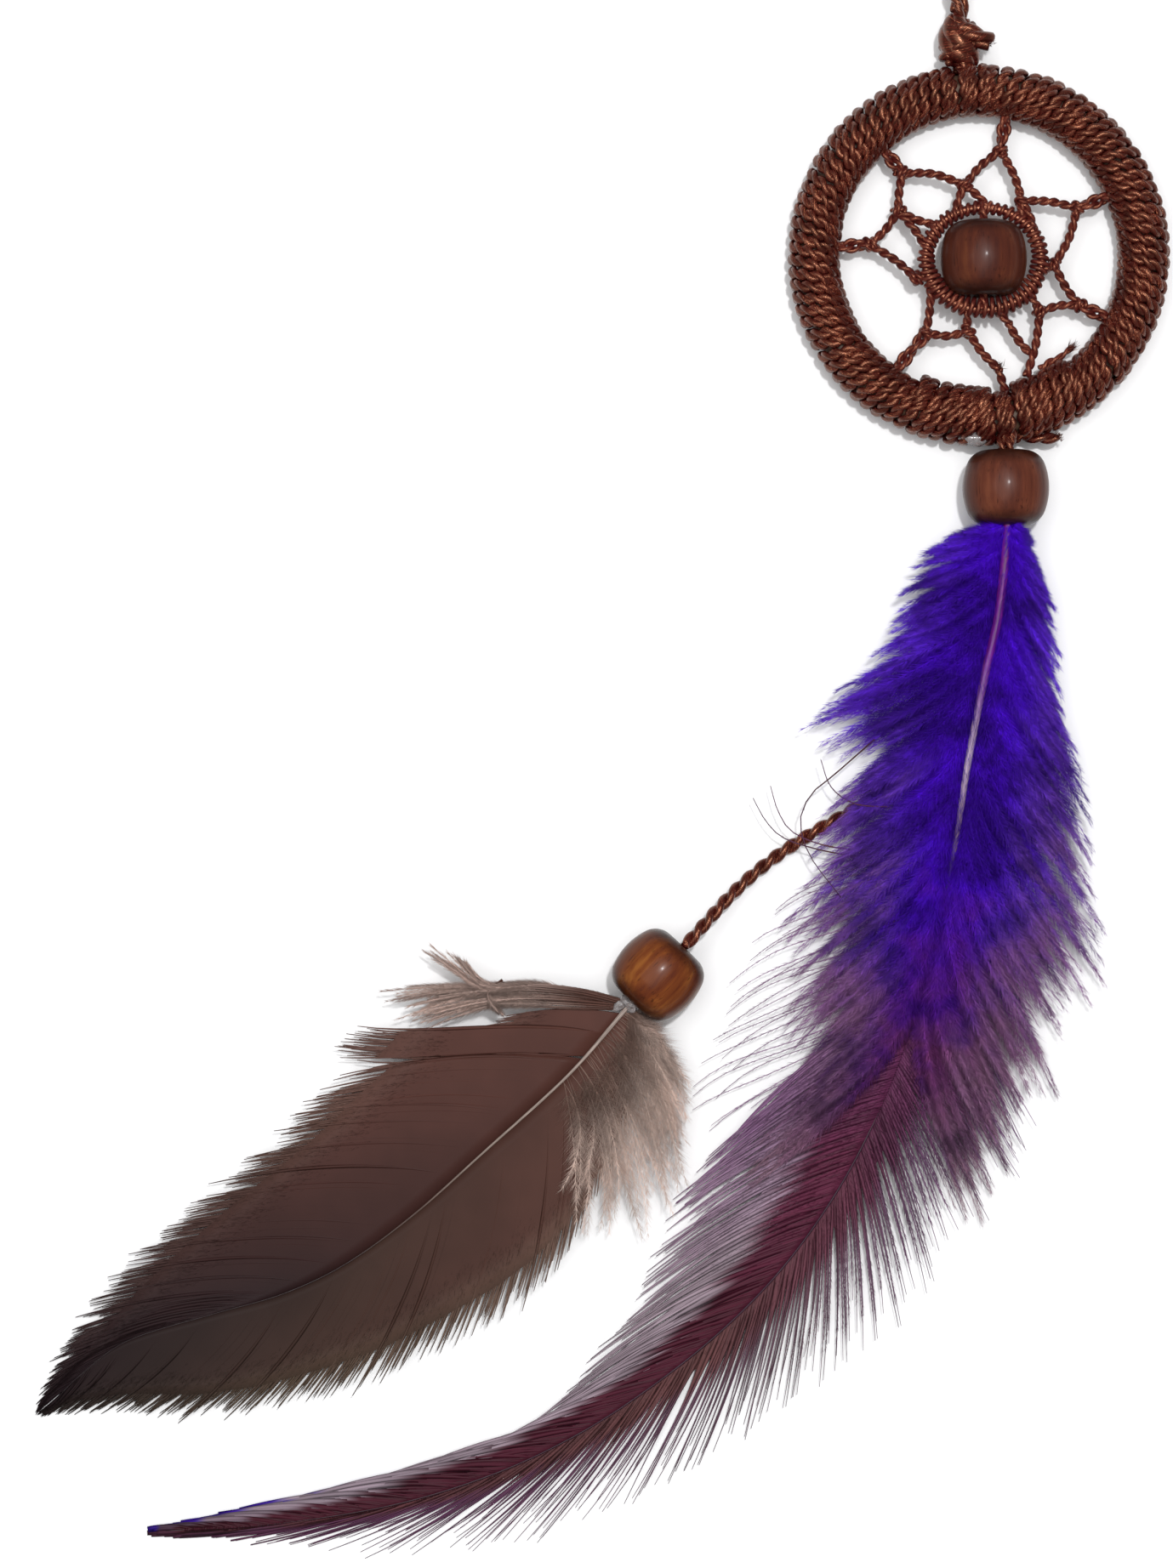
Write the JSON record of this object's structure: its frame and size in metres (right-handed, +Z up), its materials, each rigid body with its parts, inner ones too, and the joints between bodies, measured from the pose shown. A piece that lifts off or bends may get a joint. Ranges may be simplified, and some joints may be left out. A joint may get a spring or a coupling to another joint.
{
  "type": "dream catcher",
  "caption": "Small hanging dream catcher: cord-wound hoop with a knotted web and a bead, and feathers on beads hanging below it.",
  "frame": {"origin": "on the surface that it lies on, under the middle of the piece without its hanging loop and lower cord", "axes": "+Z up out of the surface, +Y from the feathers towards the hanging loop, +X to the right as seen from above"},
  "size_m": [0.1316, 0.2321, 0.0101],
  "materials": {
    "core": "stained",
    "cord": "satin twisted cord",
    "web_cord": "satin twisted cord",
    "bead_wood": "lacquered",
    "glue": "clear dried glue",
    "purple_shaft": "dyed quill",
    "purple_feather": "dyed feather",
    "brown_shaft": "natural quill",
    "brown_feather": "natural feather"
  },
  "bodies": {
    "hoop": {"hoop_core": "core", "hoop_wrap": "cord", "web_lashing": "cord", "web_outer_row": "web_cord", "web_inner_row": "web_cord", "web_hitches": "web_cord", "inner_ring": "web_cord", "bead_thread": "web_cord", "web_loose_end": "web_cord", "tie_cord_end": "cord", "tie_glue": "glue"},
    "hanger": {"hanger_ring": "cord", "top_knot": "cord", "knot_tail": "cord"},
    "loop": {"hanging_loop": "cord"},
    "centre_bead": {"centre_bead": "bead_wood"},
    "tie": {"tie_ring": "cord"},
    "upper_pendant": {"upper_bead": "bead_wood", "upper_glue": "glue", "purple_shaft": "purple_shaft", "purple_down_left": "purple_feather", "purple_down_right": "purple_feather", "purple_vane_left": "purple_feather", "purple_vane_right": "purple_feather"},
    "lower_cord": {"lower_cord": "cord"},
    "lower_pendant": {"lower_bead": "bead_wood", "lower_glue": "glue", "brown_shaft": "brown_shaft", "brown_vane_left": "brown_feather", "brown_vane_right": "brown_feather", "brown_down_left": "brown_feather", "brown_down_right": "brown_feather"}
  },
  "joints": [
    {"name": "hanger_turn", "type": "hinge", "parent": "hoop", "child": "hanger", "pos_m": [0.0418, 0.08219, 0.00315], "axis": [-0.997, -0.0775, 0], "range_deg": [-75, 75]},
    {"name": "loop_swing", "type": "hinge", "parent": "hanger", "child": "loop", "pos_m": [0.04095, 0.09072, 0.0034], "axis": [0, 0, 1], "range_deg": [-30, 30]},
    {"name": "centre_bead_spin", "type": "hinge", "parent": "hoop", "child": "centre_bead", "pos_m": [0.0437, 0.0623, 0.00505], "axis": [0, 1, 0], "continuous": true},
    {"name": "tie_turn", "type": "hinge", "parent": "hoop", "child": "tie", "pos_m": [0.0463, 0.04378, 0.00315], "axis": [0.9879, 0.155, 0], "range_deg": [-75, 75]},
    {"name": "pendant_swing", "type": "hinge", "parent": "tie", "child": "upper_pendant", "pos_m": [0.0463, 0.03987, 0.00505], "axis": [0, 0, 1], "range_deg": [-10, 10]},
    {"name": "lower_cord_swing", "type": "hinge", "parent": "upper_pendant", "child": "lower_cord", "pos_m": [0.0463, 0.03107, 0.0043], "axis": [0, 0, 1], "range_deg": [-45, 3]},
    {"name": "lower_pendant_swing", "type": "hinge", "parent": "lower_cord", "child": "lower_pendant", "pos_m": [0.00863, -0.01831, 0.00505], "axis": [0, 0, 1], "range_deg": [-60, 4]}
  ]
}
